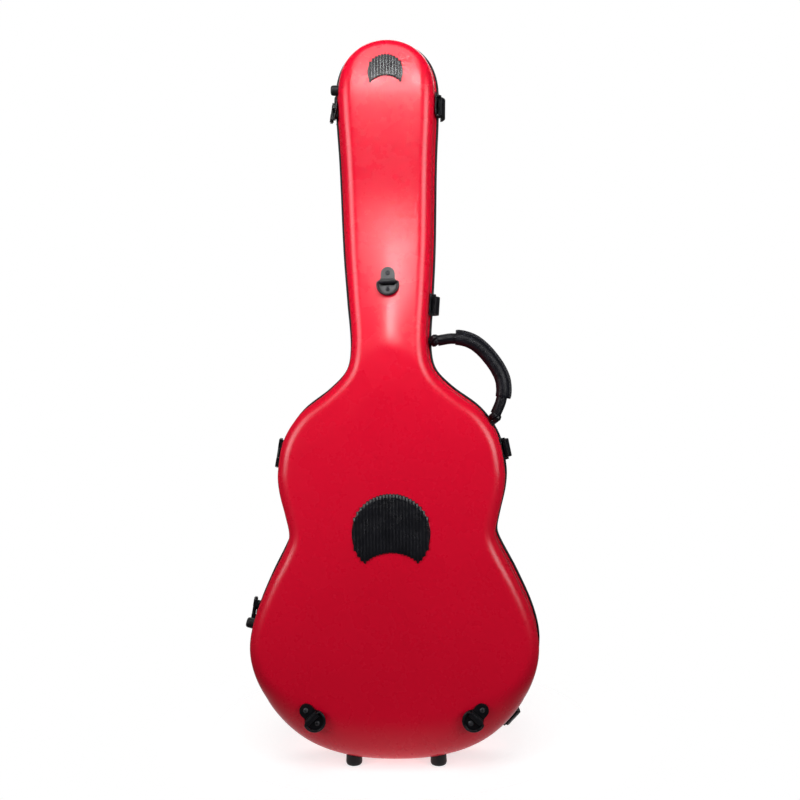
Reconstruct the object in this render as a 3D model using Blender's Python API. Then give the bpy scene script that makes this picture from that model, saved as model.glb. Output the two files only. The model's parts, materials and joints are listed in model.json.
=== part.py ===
"""Hard-shell case for a classical guitar, standing on its bottom feet. Metres, +Z up.

The back (base) shell faces -Y, the lid shell faces +Y, and the seam between them is the plane
Y = SEAM. Hinges are on the -X side, latches and handle on the +X side.
"""

import math

import bmesh
import bpy
from mathutils import Matrix, Vector

MM = 0.001
SEAM = 8 * MM  # Y of the seam plane
LIFT = 8 * MM  # height of the shell's lowest edge above the floor
BODY_DEEP = {-1: 84 * MM, 1: 74 * MM}  # depth of each shell at the body
NECK_DEEP = {-1: 50 * MM, 1: 44 * MM}  # and at the neck
RAMP_TOP = 838 * MM  # height where the neck starts to deepen
WALL = 3 * MM
LINING = 16 * MM
FLOOR_PAD = 9 * MM
DRAFT = 0.06
EDGE_RADIUS = 20 * MM
BOTTOM_RADIUS = 75 * MM
RIM_DEEP = 8 * MM
GAP = 0.3 * MM
CHORD = 1.0 * MM  # largest departure of the facets from the smooth outline
LONGEST = 46 * MM

# Half of the seam's outline, from the bottom centre to the top centre: half-width and height.
OUTLINE = [
    (0, 0), (59, 4), (110, 18), (149.5, 41.5), (184, 79), (203.5, 121), (211.5, 170), (203.5, 214),
    (181, 268), (156.5, 316), (151.5, 333), (156, 358), (165, 396), (166.5, 425), (157, 472),
    (131, 511), (88.5, 544), (63.5, 572), (57.2, 608), (61.3, 675), (65.8, 750), (69.8, 881),
    (74, 965), (72, 1002), (60.5, 1031), (36, 1053), (0, 1062),
]

HINGE_HEIGHTS = (960, 449, 214)
HINGE_HALF_LENGTHS = (12.4, 20.4, 15.4)
HINGE_AXIS_X = -172.4 * MM  # where the common hinge axis stands at the middle hinge
HINGE_LEAN = 0.1755  # how far the axis leans, across per unit of height
LATCH_HEIGHTS = (963, 665.5, 450, 57)
HANDLE_A = (64.6, 615.2)  # the two ends of the handle's pivot line
HANDLE_B = (154.5, 497)
HANDLE_Y = -18 * MM  # from the seam
HANDLE_PATH = [(5, 3), (9, 10.8), (15.3, 21.3), (26, 33), (40.3, 41.8), (57.1, 45.9), (74.25, 46.9)]
STRAP_SCALE = 1.16
STRAPS = (("neck", 0, 693, 0), ("left", -114, 76, 42), ("right", 114, 76, -42))
SIDE_FEET = ((987, 8.8, 24, "upper"), (200, 10.8, 38, "lower"))  # height, reach, from the seam

for old in list(bpy.data.objects):
    bpy.data.objects.remove(old, do_unlink=True)
case = bpy.data.collections.new("guitar_case")
bpy.context.scene.collection.children.link(case)
tools = bpy.data.collections.new("cutters")
tools.hide_render = True
bpy.context.scene.collection.children.link(tools)

COLOURS = {
    "shell": ((0.62, 0.004, 0.018, 1), 0.0, 0.3),
    "rubber": ((0.012, 0.012, 0.014, 1), 0.0, 0.6),
    "seal": ((0.02, 0.02, 0.022, 1), 0.0, 0.5),
    "plush": ((0.035, 0.03, 0.04, 1), 0.0, 0.95),
    "black_metal": ((0.02, 0.02, 0.022, 1), 0.8, 0.35),
    "steel": ((0.45, 0.45, 0.47, 1), 1.0, 0.3),
    "leather": ((0.015, 0.014, 0.016, 1), 0.0, 0.5),
}


def material(name, slot):
    colour, metal, rough = COLOURS[slot]
    made = bpy.data.materials.new(name)
    made.use_nodes = True
    shader = made.node_tree.nodes["Principled BSDF"]
    shader.inputs["Base Color"].default_value = colour
    shader.inputs["Metallic"].default_value = metal
    shader.inputs["Roughness"].default_value = rough
    made.diffuse_color = colour
    return made


def place(name, mesh, slot=None, matrix=None, origin=None):
    """A new object. Without a slot it is a cutter. Its origin may stand on its joint's axis."""
    thing = bpy.data.objects.new(name, mesh)
    if matrix is not None:
        mesh.transform(matrix)
    if origin is not None:
        mesh.transform(Matrix.Translation(-Vector(origin)))
        thing.location = origin
    if slot:
        mesh.materials.append(material(name, slot))
        case.objects.link(thing)
    else:
        thing.display_type = "WIRE"
        thing.hide_render = True
        tools.objects.link(thing)
    return thing


def boolean(thing, tool, operation="DIFFERENCE"):
    modifier = thing.modifiers.new(operation.lower(), "BOOLEAN")
    modifier.object = tool
    modifier.operation = operation
    modifier.solver = "EXACT"


def mesh_of(name, points, faces):
    mesh = bpy.data.meshes.new(name)
    mesh.from_pydata([tuple(p) for p in points], [], faces)
    mesh.update()
    work = bmesh.new()
    work.from_mesh(mesh)
    bmesh.ops.recalc_face_normals(work, faces=work.faces)
    work.to_mesh(mesh)
    work.free()
    return mesh


def prism(name, polygon, low, high):
    """A flat polygon in local X and Y, in millimetres, extruded along local Z."""
    count = len(polygon)
    points = [Vector((x, y, z)) * MM for z in (low, high) for x, y in polygon]
    faces = [tuple(range(count))[::-1], tuple(range(count, 2 * count))]
    faces += [(i, (i + 1) % count, (i + 1) % count + count, i + count) for i in range(count)]
    return mesh_of(name, points, faces)


def turned(name, profile, sides=20):
    """A profile of radius and height, in millimetres, turned round local Z from axis to axis."""
    work = bmesh.new()
    verts = [work.verts.new(Vector((r, 0, z)) * MM) for r, z in profile]
    edges = [work.edges.new(pair) for pair in zip(verts, verts[1:])]
    bmesh.ops.spin(
        work, geom=verts + edges, axis=(0, 0, 1), cent=(0, 0, 0), steps=sides,
        angle=2 * math.pi,
    )
    bmesh.ops.remove_doubles(work, verts=work.verts, dist=1e-6)
    bmesh.ops.recalc_face_normals(work, faces=work.faces)
    mesh = bpy.data.meshes.new(name)
    work.to_mesh(mesh)
    work.free()
    return mesh


def rod(name, radius, low, high, sides=16):
    return turned(name, [(0, low), (radius, low), (radius, high), (0, high)], sides)


def frame(origin, x_axis, y_axis):
    x_axis = Vector(x_axis).normalized()
    y_axis = Vector(y_axis)
    y_axis = (y_axis - x_axis * y_axis.dot(x_axis)).normalized()
    turn = Matrix((x_axis, y_axis, x_axis.cross(y_axis))).transposed()
    return Matrix.Translation(Vector(origin)) @ turn.to_4x4()


def smooth_outline():
    """The outline's half as closely spaced points with outward normals, bottom to top."""
    keys = [Vector((x, z)) * MM for x, z in OUTLINE]
    keys = [Vector((-keys[1].x, keys[1].y))] + keys + [Vector((-keys[-2].x, keys[-2].y))]
    dense = []
    for before, start, end, after in zip(keys, keys[1:], keys[2:], keys[3:]):
        span = (end - start).length
        pull_in = (end - before) / ((end - start).length + (start - before).length) * span
        pull_out = (after - start) / ((after - end).length + (end - start).length) * span
        for step in range(24):
            t = step / 24
            dense.append(
                start * (2 * t**3 - 3 * t**2 + 1) + pull_in * (t**3 - 2 * t**2 + t)
                + end * (3 * t**2 - 2 * t**3) + pull_out * (t**3 - t**2)
            )
    dense.append(keys[-2])
    found = []
    for i, point in enumerate(dense):
        along = dense[min(i + 1, len(dense) - 1)] - dense[max(i - 1, 0)]
        if i in (0, len(dense) - 1):
            along = Vector((1 if i == 0 else -1, 0))
        found.append((point, Vector((along.y, -along.x)).normalized()))
    return found


DENSE = smooth_outline()


def thinned():
    """The fewest of those points whose facets stay within CHORD of the smooth line."""
    kept = [0]
    while kept[-1] < len(DENSE) - 1:
        start = kept[-1]
        end = start + 1
        for trial in range(start + 2, len(DENSE)):
            chord = DENSE[trial][0] - DENSE[start][0]
            side = Vector((chord.y, -chord.x)).normalized()
            sag = max(abs((DENSE[i][0] - DENSE[start][0]).dot(side)) for i in range(start, trial))
            if sag > CHORD or chord.length > LONGEST:
                break
            end = trial
        kept.append(end)
    return [DENSE[i] for i in kept]


def ring_stations():
    half = thinned()
    right = half[1:-1]
    left = [(Vector((-p.x, p.y)), Vector((-n.x, n.y))) for p, n in right[::-1]]
    return [half[0], *right, half[-1], *left]


STATIONS = ring_stations()
COUNT = len(STATIONS)


def clamp(value):
    return min(max(value, 0.0), 1.0)


def crest(x):
    """Height of the arched line where the neck's ramp meets the body's flat back."""
    x = abs(x)
    return 604 * MM - 48 * MM * clamp(x / (60 * MM)) ** 1.6 - 0.55 * max(x - 60 * MM, 0)


def depth_at(x, z, side):
    """Depth of the shell's outer face below the seam."""
    body, neck = BODY_DEEP[side], NECK_DEEP[side]
    top = crest(x)
    rise = clamp((RAMP_TOP - z) / (RAMP_TOP - top))
    deep = neck + (body - neck) * rise**1.7
    head = clamp((z - 960 * MM) / (102 * MM))
    crown = 3 * MM * clamp((top - z) / (60 * MM)) * (1 - clamp(abs(x) / (190 * MM)) ** 2)
    return deep - 9 * MM * head**2 + crown


def roundness(z):
    """Reach of the rounded edge: wide along the bottom, narrow up the sides."""
    t = clamp(z / (170 * MM))
    return EDGE_RADIUS + (BOTTOM_RADIUS - EDGE_RADIUS) * (1 - t * t * (3 - 2 * t))


def section(station, side, inset, floor, top, steps):
    """One wall and rounded edge, from the seam to the face: a list of world points."""
    point, normal = station
    reach = roundness(point.y)
    lean = 1.5 * MM + inset
    full = lean + DRAFT * 30 * MM + reach
    inner = point - normal * full
    deep = depth_at(inner.x, inner.y, side) - floor
    drop = min(reach, 0.52 * deep)
    rows = [(inset, top)]
    if inset <= 0.0:
        rows += [(inset, top + 1.4 * MM), (lean, top + 2 * MM)]
    for step in range(steps + 1):
        angle = math.pi / 2 * step / steps
        across = lean + DRAFT * 30 * MM + reach * (1 - math.cos(angle))
        rows.append((across, deep - drop * (1 - math.sin(angle))))
    spots = [(point - normal * across, y) for across, y in rows]
    return [Vector((p.x, SEAM + side * y, p.y + LIFT)) for p, y in spots]


def ladder(points, faces, first, columns, side, floor):
    """Fills a ring that starts at index first with rungs from its left half to its right."""
    half = COUNT // 2
    rungs = [[first]]
    for i in range(1, half):
        right, left = points[first + i], points[first + COUNT - i]
        rung = [first + COUNT - i]
        for column in range(1, columns):
            share = column / columns
            x, z = left.x + (right.x - left.x) * share, right.z
            deep = right.y if side == 0 else SEAM + side * (depth_at(x, z - LIFT, side) - floor)
            points.append(Vector((x, deep, z)))
            rung.append(len(points) - 1)
        rungs.append([*rung, first + i])
    rungs.append([first + half])
    for low, high in zip(rungs, rungs[1:]):
        if len(low) == 1:
            faces += [(low[0], b, a) for a, b in zip(high, high[1:])]
        elif len(high) == 1:
            faces += [(high[0], a, b) for a, b in zip(low, low[1:])]
        else:
            faces += [
                (low[k], low[k + 1], high[k + 1], high[k]) for k in range(len(low) - 1)
            ]


def bowl(name, side, outer, inner, columns):
    """A shell or lining: outer and inner are (inset, floor, top, steps). inner may be None."""
    rings = [section(s, side, *outer) for s in STATIONS]
    if inner:
        rings = [a[::-1] + section(s, side, *inner) for a, s in zip(rings, STATIONS)]
    else:
        flat = [Vector((a[0].x, SEAM, a[0].z)) for a in rings]
        rings = [[*a[::-1], b] for a, b in zip(rings, flat)]
    rows = len(rings[0])
    points = [rings[i][row] for row in range(rows) for i in range(COUNT)]
    faces = []
    for row in range(rows - 1):
        for i in range(COUNT):
            j = (i + 1) % COUNT
            faces.append((row * COUNT + i, row * COUNT + j, (row + 1) * COUNT + j, (row + 1) * COUNT + i))
    ladder(points, faces, 0, columns[0], side, outer[1])
    last = (rows - 1) * COUNT
    ladder(points, faces, last, columns[1], side if inner else 0, inner[1] if inner else 0)
    return mesh_of(name, points, faces)


def band(name, side, corners):
    """A loop round the seam with the cross-section corners, as (inset, distance from the seam)."""
    points = []
    for inset, y in corners:
        for point, normal in STATIONS:
            p = point - normal * inset * MM
            points.append(Vector((p.x, SEAM + side * y * MM, p.y + LIFT)))
    rows = len(corners)
    faces = []
    for row in range(rows):
        below = (row + 1) % rows
        for i in range(COUNT):
            j = (i + 1) % COUNT
            faces.append((row * COUNT + i, row * COUNT + j, below * COUNT + j, below * COUNT + i))
    return mesh_of(name, points, faces)


SHELL_TOP = RIM_DEEP + GAP
envelope = {}
for key, side in (("base", -1), ("lid", 1)):
    place(
        key + "_shell",
        bowl(key + "_shell", side, (0.0, 0.0, SHELL_TOP, 3), (WALL, WALL, SHELL_TOP, 2), (5, 2)),
        "shell",
    )
    thick = WALL + 1.6 * MM
    place(
        key + "_lining",
        bowl(
            key + "_lining", side, (thick, thick, SHELL_TOP + 1 * MM, 2),
            (WALL + LINING, WALL + FLOOR_PAD, SHELL_TOP + 1 * MM, 2), (2, 2),
        ),
        "plush",
    )
    place(
        key + "_rim",
        band(
            key + "_rim", side,
            [(-3.5, 0.5), (-3.5, 6.3), (-2.0, 8.0), (4.2, 8.0), (4.2, 0.5)],
        ),
        "seal",
    )
    grown = bowl(key + "_envelope", side, (0.0, 0.0, SHELL_TOP, 3), None, (5, 2))
    for vertex in grown.vertices:
        vertex.co += vertex.normal * GAP
    envelope[side] = place(key + "_envelope", grown)


def station_at(height):
    return min(DENSE, key=lambda s: abs(s[0].y - height * MM))


def on_edge(height, across=1):
    """A frame on the seam: X outwards, Y with the world, Z along the edge."""
    point, normal = station_at(height)
    origin = (across * point.x, SEAM, point.y + LIFT)
    return frame(origin, (across * normal.x, 0, normal.y), (0, 1, 0))


def on_back(x, z, turn=0.0, side=-1):
    """A frame on a shell's face: Z straight out, Y up the face before the turn in degrees."""
    step = 4 * MM

    def face(dx, dz):
        deep = depth_at(x + dx, z + dz, side)
        return Vector((x + dx, SEAM + side * deep, z + dz + LIFT))

    here = face(0, 0)
    up = (face(0, step) - face(0, -step)).normalized()
    out = (face(step, 0) - face(-step, 0)).cross(up).normalized()
    across = up.cross(out)
    turned_up = up * math.cos(turn) - across * math.sin(turn)
    return frame(here, turned_up.cross(out), turned_up)


# Hinges: two leaves with interlocking knuckles on one leaning axis, and a pin through them.
axis_up = Vector((HINGE_LEAN, 0, 1)).normalized()
for number, height in enumerate(HINGE_HEIGHTS, 1):
    z = height * MM
    half = HINGE_HALF_LENGTHS[number - 1]
    third = 0.36 * half
    origin = Vector((HINGE_AXIS_X + HINGE_LEAN * (z - 449 * MM), SEAM, z + LIFT))
    out = Vector((-1, 0, HINGE_LEAN)).normalized()
    local = frame(origin, out, (0, 1, 0))
    reaches = []
    for point, normal in DENSE:
        away = origin - Vector((-point.x, SEAM, point.y + LIFT))
        if abs(away.dot(axis_up)) < (half + 0.6) * MM:
            reaches.append(away.dot(out) / MM)
    wall = min(reaches) + 1.5 - 2 * GAP / MM
    for key, side in (("base", -1), ("lid", 1)):
        name = f"hinge_{number}_{key}_leaf"
        plate = [
            (-wall, side * 10.6), (-wall - 1.1, side * 29), (-wall + 0.5, side * 29),
            (-wall + 1.6, side * 12), (-wall + 1.6, side * 10.6),
        ]
        leaf = place(name, prism(name, plate, -half, half), "black_metal", local)
        spans = [(-half - 0.6, -third), (third, half + 0.6)] if side < 0 else [(0.4 - third, third - 0.4)]
        web = [(-1.4, side * 1.2), (1.2, side * 1.2), (1.2, side * 12.3), (-wall + 0.7, side * 12.3),
               (-wall + 0.7, side * 11), (-1.4, side * 11)]
        for index, (low, high) in enumerate(spans):
            strip = prism("web", web, low + 0.3, high - 0.3)
            strip = place(f"{name}_web_{index}", strip, None, local)
            tube = place(f"{name}_tube_{index}", rod("tube", 3.0, low, high), None, local)
            boolean(leaf, strip, "UNION")
            boolean(leaf, tube, "UNION")
        boolean(leaf, place(name + "_bore", rod("bore", 1.5, -25, 25, 12), None, local))
    pin = f"hinge_{number}_pin"
    end_at = half + 1
    heads = [(0, -end_at - 1.2), (2.2, -end_at - 1.2), (2.2, -end_at), (1.25, -end_at),
             (1.25, end_at), (2.2, end_at), (2.2, end_at + 1.2), (0, end_at + 1.2)]
    place(pin, turned(pin, heads, 12), "steel", local)

# Draw latches: a plate with ears on the base, a curved lever with a claw, a catch on the lid.
LEVER = [
    (4.0, -18.3), (6.6, -18.8), (8.8, -17.2), (11.6, -12.5), (13.0, -5), (13.0, 3), (11.6, 10),
    (9.0, 15.8), (7.2, 17.7), (5.6, 17.8), (6.4, 14.4), (8.0, 9), (9.0, 3), (9.0, -5),
    (8.0, -11), (7.0, -13.4), (4.4, -13.4), (2.6, -14.4), (2.2, -16.2), (2.8, -17.8),
]
CLAW = [
    (6.8, -10), (7.6, -5), (7.7, 2), (6.8, 8), (5.4, 13.2), (5.4, 16.2), (4.2, 16.4),
    (3.6, 16.4), (3.6, 15.2), (4.3, 14.8), (4.3, 11.5), (5.6, 7), (6.2, 2), (6.2, -5), (5.6, -10),
]
for number, height in enumerate(LATCH_HEIGHTS, 1):
    local = on_edge(height)
    name = f"latch_{number}_plate"
    plate = [(-0.8, -10.8), (-2.1, -34), (-0.7, -34), (0.6, -20), (0.6, -10.8)]
    base = place(name, prism(name, plate, -16, 16), "black_metal", local)
    ear = [(-0.6, -22), (-0.6, -10.8), (2.5, -10.8), (6.6, -13.8), (7.2, -16), (6.6, -18.2), (3, -22)]
    for index, (low, high) in enumerate(((-16, -13.4), (13.4, 16))):
        cheek = place(f"{name}_ear_{index}", prism("ear", ear, low, high), None, local)
        boolean(base, cheek, "UNION")
    pivot = local @ Matrix.Translation(Vector((4.6, -16, 0)) * MM)
    boolean(base, place(name + "_bore", rod("bore", 1.5, -20, 20, 12), None, pivot))
    name = f"latch_{number}_lever"
    lever = place(name, prism(name, LEVER, -13, 13), "black_metal", local, pivot.translation)
    boolean(lever, place(name + "_pin", rod("pin", 1.2, -15.8, 15.8, 12), None, pivot), "UNION")
    name = f"latch_{number}_claw"
    place(name, prism(name, CLAW, -8, 8), "steel", local, pivot.translation)
    name = f"latch_{number}_catch"
    catch = [(-0.8, 10.8), (-2.1, 30), (-0.7, 30), (0.3, 16), (3.0, 14.2), (3.0, 12.2), (0.8, 10.8)]
    place(name, prism(name, catch, -9, 9), "steel", local)

# Handle: two anchors with pins, a core tube that pivots on them, and a stitched leather wrap.
start = Vector((HANDLE_A[0] * MM, SEAM + HANDLE_Y, HANDLE_A[1] * MM + LIFT))
end = Vector((HANDLE_B[0] * MM, SEAM + HANDLE_Y, HANDLE_B[1] * MM + LIFT))
length = (end - start).length / MM
handle = frame(start, end - start, (1, 0, 1))
along_pivot = handle @ Matrix.Rotation(math.pi / 2, 4, "Y")
half_path = [Vector((x, y)) for x, y in HANDLE_PATH]
path = half_path + [Vector((length - p.x, p.y)) for p in half_path[-2::-1]]


def sweep(name, line, outer, inner):
    """A section of (outwards, sideways) points swept along a line, with a bore if inner is given."""
    loops = []
    for section_points in (outer, inner):
        rings = []
        for i, spot in enumerate(line):
            along = (line[min(i + 1, len(line) - 1)] - line[max(i - 1, 0)]).normalized()
            up = Vector((-along.y, along.x))
            rings.append(
                [Vector((spot.x + up.x * a, spot.y + up.y * a, b)) * MM for a, b in section_points]
            )
        loops.append(rings)
    points, faces = [], []
    starts = []
    for rings in loops:
        starts.append(len(points))
        size = len(rings[0])
        first = len(points)
        for ring in rings:
            points += ring
        for row in range(len(rings) - 1):
            for k in range(size):
                m = (k + 1) % size
                at = first + row * size
                faces.append((at + k, at + m, at + size + m, at + size + k))
    size = len(outer)
    for row in (0, len(line) - 1):
        a, b = starts[0] + row * size, starts[1] + row * size
        for k in range(size):
            m = (k + 1) % size
            faces.append((a + k, a + m, b + m, b + k))
    return mesh_of(name, points, faces)


def circle(radius, sides, flange=0.0):
    """A circle as (outwards, sideways), its top corner drawn out to a flange."""
    found = []
    for k in range(sides):
        angle = 2 * math.pi * k / sides
        a, b = radius * math.cos(angle), radius * math.sin(angle)
        if flange and k in (0, 1, sides - 1):
            a, b = radius + flange, (0.0, 1.3, -1.3)[(0, 1, sides - 1).index(k)]
        found.append((a, b))
    return found


tube = bpy.data.curves.new("handle_core", "CURVE")
tube.dimensions = "3D"
tube.bevel_depth = 7.4 * MM
tube.bevel_resolution = 2
tube.use_fill_caps = True
tube.resolution_u = 1
spline = tube.splines.new("POLY")
spline.points.add(len(path) - 1)
for spot, place_at in zip(path, spline.points):
    place_at.co = (spot.x * MM, spot.y * MM, 0, 1)
rope = bpy.data.objects.new("handle_path", tube)
tools.objects.link(rope)
bpy.context.view_layer.update()
core_mesh = bpy.data.meshes.new_from_object(rope.evaluated_get(bpy.context.evaluated_depsgraph_get()))
bpy.data.objects.remove(rope, do_unlink=True)
work = bmesh.new()
work.from_mesh(core_mesh)
bmesh.ops.remove_doubles(work, verts=work.verts, dist=1e-6)
bmesh.ops.recalc_face_normals(work, faces=work.faces)
work.to_mesh(core_mesh)
work.free()
core = place("handle_core", core_mesh, "leather", handle, start)
for index, at in enumerate((1.0, length - 9.0)):
    eye = place(f"handle_eye_{index}", rod("eye", 6.6, at, at + 8), None, along_pivot)
    boolean(core, eye, "UNION")
for index, (low, high) in enumerate(((-2.0, 7.0), (length - 7.0, length + 2.0))):
    boolean(core, place(f"handle_bore_{index}", rod("bore", 2.7, low, high, 12), None, along_pivot))
for index, (low, high) in enumerate(((-2.0, 0.9), (length - 0.9, length + 2.0))):
    clear = place(f"handle_clear_{index}", rod("clear", 12, low, high, 16), None, along_pivot)
    boolean(core, clear)
grip_path = [p for p in path if 17 < p.x < length - 17]
grip = sweep("handle_grip", grip_path, circle(9.6, 14, 4.0), circle(7.9, 14))
place("handle_grip", grip, "leather", handle, start)
anchors = (
    (-6, 0.6, (-4, 6.5)),
    (length - 0.6, length + 6, (length - 6.5, length + 4)),
)
for index, (low, high, pin) in enumerate(anchors):
    name = f"handle_anchor_{index + 1}"
    block = [(low, -26), (high, -26), (high, 3.5), (high - 1.5 if index else high, 5.5),
             (low if index else low + 1.5, 5.5), (low, 3.5)]
    anchor = place(name, prism(name, block, -5.5, 5.5), "black_metal", handle)
    boolean(anchor, place(name + "_pin", rod("pin", 2.4, *pin, 12), None, along_pivot), "UNION")
    boolean(anchor, envelope[-1])

# Strap anchors: a plate with a bridge over the bar of a D ring, and two screws.
RING_R = 12.6
for key, x, z, turn in STRAPS:
    local = on_back(x * MM, z * MM, math.radians(turn)) @ Matrix.Scale(STRAP_SCALE, 4)
    name = f"strap_{key}_plate"
    round_end = [
        (8.6 * math.cos(a), 13 + 8.6 * math.sin(a)) for a in [math.pi * k / 8 for k in range(9)]
    ]
    lower = [
        (12.0 * math.cos(a), -2.2 + 12.0 * math.sin(a)) for a in [math.pi * (1 + k / 8) for k in range(9)]
    ]
    under = 2 if key == "neck" else 8.6
    plate = place(name, prism(name, round_end + [(-8.6, 7), (-12.0, 2)] + lower + [(12.0, 2), (8.6, 7)],
                              -under, 1.9), "black_metal", local)
    bar = local @ Matrix.Translation(Vector((0, 2, 4.4)) * MM)
    bridge = [
        (-2, -1), (-2, 4.4), (-1.1, 7.0), (1.2, 7.7), (3.0, 7.7), (5.1, 7.0), (6, 4.4), (6, -1),
        (4.6, -1), (4.6, 4.4), (3.7, 6.0), (2, 6.6), (0.3, 6.0), (-0.6, 4.4), (-0.6, -1),
    ]
    sideways = local @ Matrix.Rotation(math.pi / 2, 4, "Z") @ Matrix.Rotation(math.pi / 2, 4, "X")
    boolean(plate, place(name + "_bridge", prism("bridge", bridge, -9, 9), None, sideways), "UNION")
    boolean(plate, envelope[-1])
    for index, y in enumerate((14, -7)):
        hole = local @ Matrix.Translation(Vector((0, y, 0)) * MM)
        screw = f"strap_{key}_screw_{index + 1}"
        head = [(0, 2.2), (3.1, 2.2), (2.9, 3.0), (1.8, 3.9), (0, 4.1)]
        place(screw, turned(screw, head, 12), "steel", hole)
    ring_path = [(RING_R * math.cos(a), RING_R * math.sin(a)) for a in
                 [math.pi * (1 + k / 12) for k in range(13)]]
    ring_path = [(px, py - 4.2) for px, py in ring_path]
    ring_path = [(-RING_R, 0)] + ring_path + [(RING_R, 0)]
    wire = bpy.data.curves.new("ring", "CURVE")
    wire.dimensions = "3D"
    wire.bevel_depth = 1.6 * MM
    wire.bevel_resolution = 1
    wire.resolution_u = 1
    loop = wire.splines.new("POLY")
    loop.points.add(len(ring_path) - 1)
    loop.use_cyclic_u = True
    for (px, py), spot in zip(ring_path, loop.points):
        spot.co = (px * MM, py * MM, 0, 1)
    holder = bpy.data.objects.new("ring_path", wire)
    tools.objects.link(holder)
    bpy.context.view_layer.update()
    ring_mesh = bpy.data.meshes.new_from_object(
        holder.evaluated_get(bpy.context.evaluated_depsgraph_get())
    )
    bpy.data.objects.remove(holder, do_unlink=True)
    name = f"strap_{key}_ring"
    place(name, ring_mesh, "black_metal", bar, bar.translation)

# Feet: four under the bottom, four on the hinge side, two on each shell.
for side, key in ((-1, "base"), (1, "lid")):
    for across, hand in ((-1, "left"), (1, "right")):
        name = f"{key}_foot_{hand}"
        shape = [(0, 0), (8.6, 0), (11.0, 1.4), (12.0, 4.2), (10.8, 30), (0, 30)]
        spot = Matrix.Translation((across * 62 * MM, SEAM + side * 36 * MM, 0))
        foot = place(name, turned(name, shape, 18), "rubber", spot)
        boolean(foot, envelope[side])
    for height, out, offset, spot_name in SIDE_FEET:
        name = f"{key}_side_foot_{spot_name}"
        local = on_edge(height, -1) @ Matrix.Translation(Vector((0, side * offset, 0)) * MM)
        local = local @ Matrix.Rotation(math.pi / 2, 4, "Y")
        shape = [(0, -14), (7.8, -14), (7.4, out - 3), (6.0, out - 0.6), (0, out)]
        foot = place(name, turned(name, shape, 14), "rubber", local)
        boolean(foot, envelope[side])


# Ribbed wear pads: a disc with an arc bitten out of its lower side, with upright ribs.
def pad(name, centre, radius, bite, bite_drop, pitch):
    x0, z0 = centre
    reach = math.acos((radius**2 + bite_drop**2 - bite**2) / (2 * radius * bite_drop))
    rim = [-math.pi / 2 + reach + (2 * math.pi - 2 * reach) * k / 26 for k in range(27)]
    edge = [(radius * math.cos(a), radius * math.sin(a)) for a in rim]
    spread = math.asin(radius * math.sin(reach) / bite)
    arc = [math.pi / 2 + spread - 2 * spread * k / 10 for k in range(1, 10)]
    edge += [(bite * math.cos(a), -bite_drop + bite * math.sin(a)) for a in arc]
    local = on_back(x0 * MM, z0 * MM)
    disc = place(name, prism(name, edge, -5, 1.4), "rubber", local)
    points, faces = [], []
    count = int((radius - 3) / pitch)
    for k in range(-count, count + 1):
        x = k * pitch
        high = math.sqrt((radius - 1.2) ** 2 - x * x)
        under = bite_drop - math.sqrt(max((bite + 1.2) ** 2 - x * x, 0.0))
        low = max(-high, -under) if abs(x) < bite + 1.2 else -high
        first = len(points)
        for y in (low, high):
            for dx, h in ((-0.32, 0.0), (0.32, 0.0), (0.22, 2.4), (-0.22, 2.4)):
                points.append(Vector((x + dx * pitch, y, h)) * MM)
        faces += [[first + i for i in quad] for quad in (
            (0, 1, 2, 3), (7, 6, 5, 4), (0, 4, 5, 1), (1, 5, 6, 2), (2, 6, 7, 3), (3, 7, 4, 0))]
    ribs = place(name + "_ribs", mesh_of("ribs", points, faces), None, local)
    boolean(disc, ribs, "UNION")
    boolean(disc, envelope[-1])


pad("wear_pad_body", (0, 337), 56.5, 57, 84, 4.7)
pad("wear_pad_head", (0, 1004), 26.5, 30.4, 35.9, 4.4)

# Inside: a cradle for the guitar's neck, and an accessory box with a hinged lid under the neck.
inside = frame((0, SEAM, LIFT), (1, 0, 0), (0, 1, 0))
half_cradle = [(28, -36.6), (41.2, -30.6), (47.0, -18), (47.4, -11), (30, -11), (25, -22)]
cradle = half_cradle + [(-x, y) for x, y in half_cradle[::-1]]
place("neck_cradle", prism("neck_cradle", cradle, 880, 928), "plush", inside)
box = place("accessory_box", prism("accessory_box", [(-32, -39.5), (-32, -20), (32, -20), (32, -39.5)],
                                   618, 742), "plush", inside)
hollow = prism("hollow", [(-29.5, -37), (-29.5, -10), (29.5, -10), (29.5, -37)], 620.5, 739.5)
boolean(box, place("accessory_hollow", hollow, None, inside))
lid_axis = inside @ Matrix.Translation(Vector((-31.5, -18.0, 680)) * MM)
place("accessory_lid", prism("accessory_lid", [(-32, -19.5), (-32, -16.8), (32, -16.8), (32, -19.5)],
                             619, 741), "plush", inside, lid_axis.translation)
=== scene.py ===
"""A hard-shell classical guitar case, standing upright and seen from its back shell."""

import json
import math

import bmesh
import bpy
from mathutils import Matrix, Vector, noise


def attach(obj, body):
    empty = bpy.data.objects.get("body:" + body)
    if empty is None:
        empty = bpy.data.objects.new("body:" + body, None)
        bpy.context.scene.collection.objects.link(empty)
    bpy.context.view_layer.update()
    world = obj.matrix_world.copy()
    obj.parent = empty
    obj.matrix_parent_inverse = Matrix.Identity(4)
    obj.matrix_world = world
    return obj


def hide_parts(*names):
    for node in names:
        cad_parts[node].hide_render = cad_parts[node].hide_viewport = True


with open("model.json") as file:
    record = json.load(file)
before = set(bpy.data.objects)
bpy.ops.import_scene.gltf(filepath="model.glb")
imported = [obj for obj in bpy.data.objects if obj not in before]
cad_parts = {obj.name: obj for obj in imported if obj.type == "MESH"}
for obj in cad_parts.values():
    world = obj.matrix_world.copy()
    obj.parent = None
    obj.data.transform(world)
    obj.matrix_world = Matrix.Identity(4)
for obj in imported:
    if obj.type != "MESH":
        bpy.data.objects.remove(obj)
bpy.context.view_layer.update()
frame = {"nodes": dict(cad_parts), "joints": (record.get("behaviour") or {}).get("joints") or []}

MM = 0.001
SEAM = 8 * MM
LIFT = 8 * MM
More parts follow.
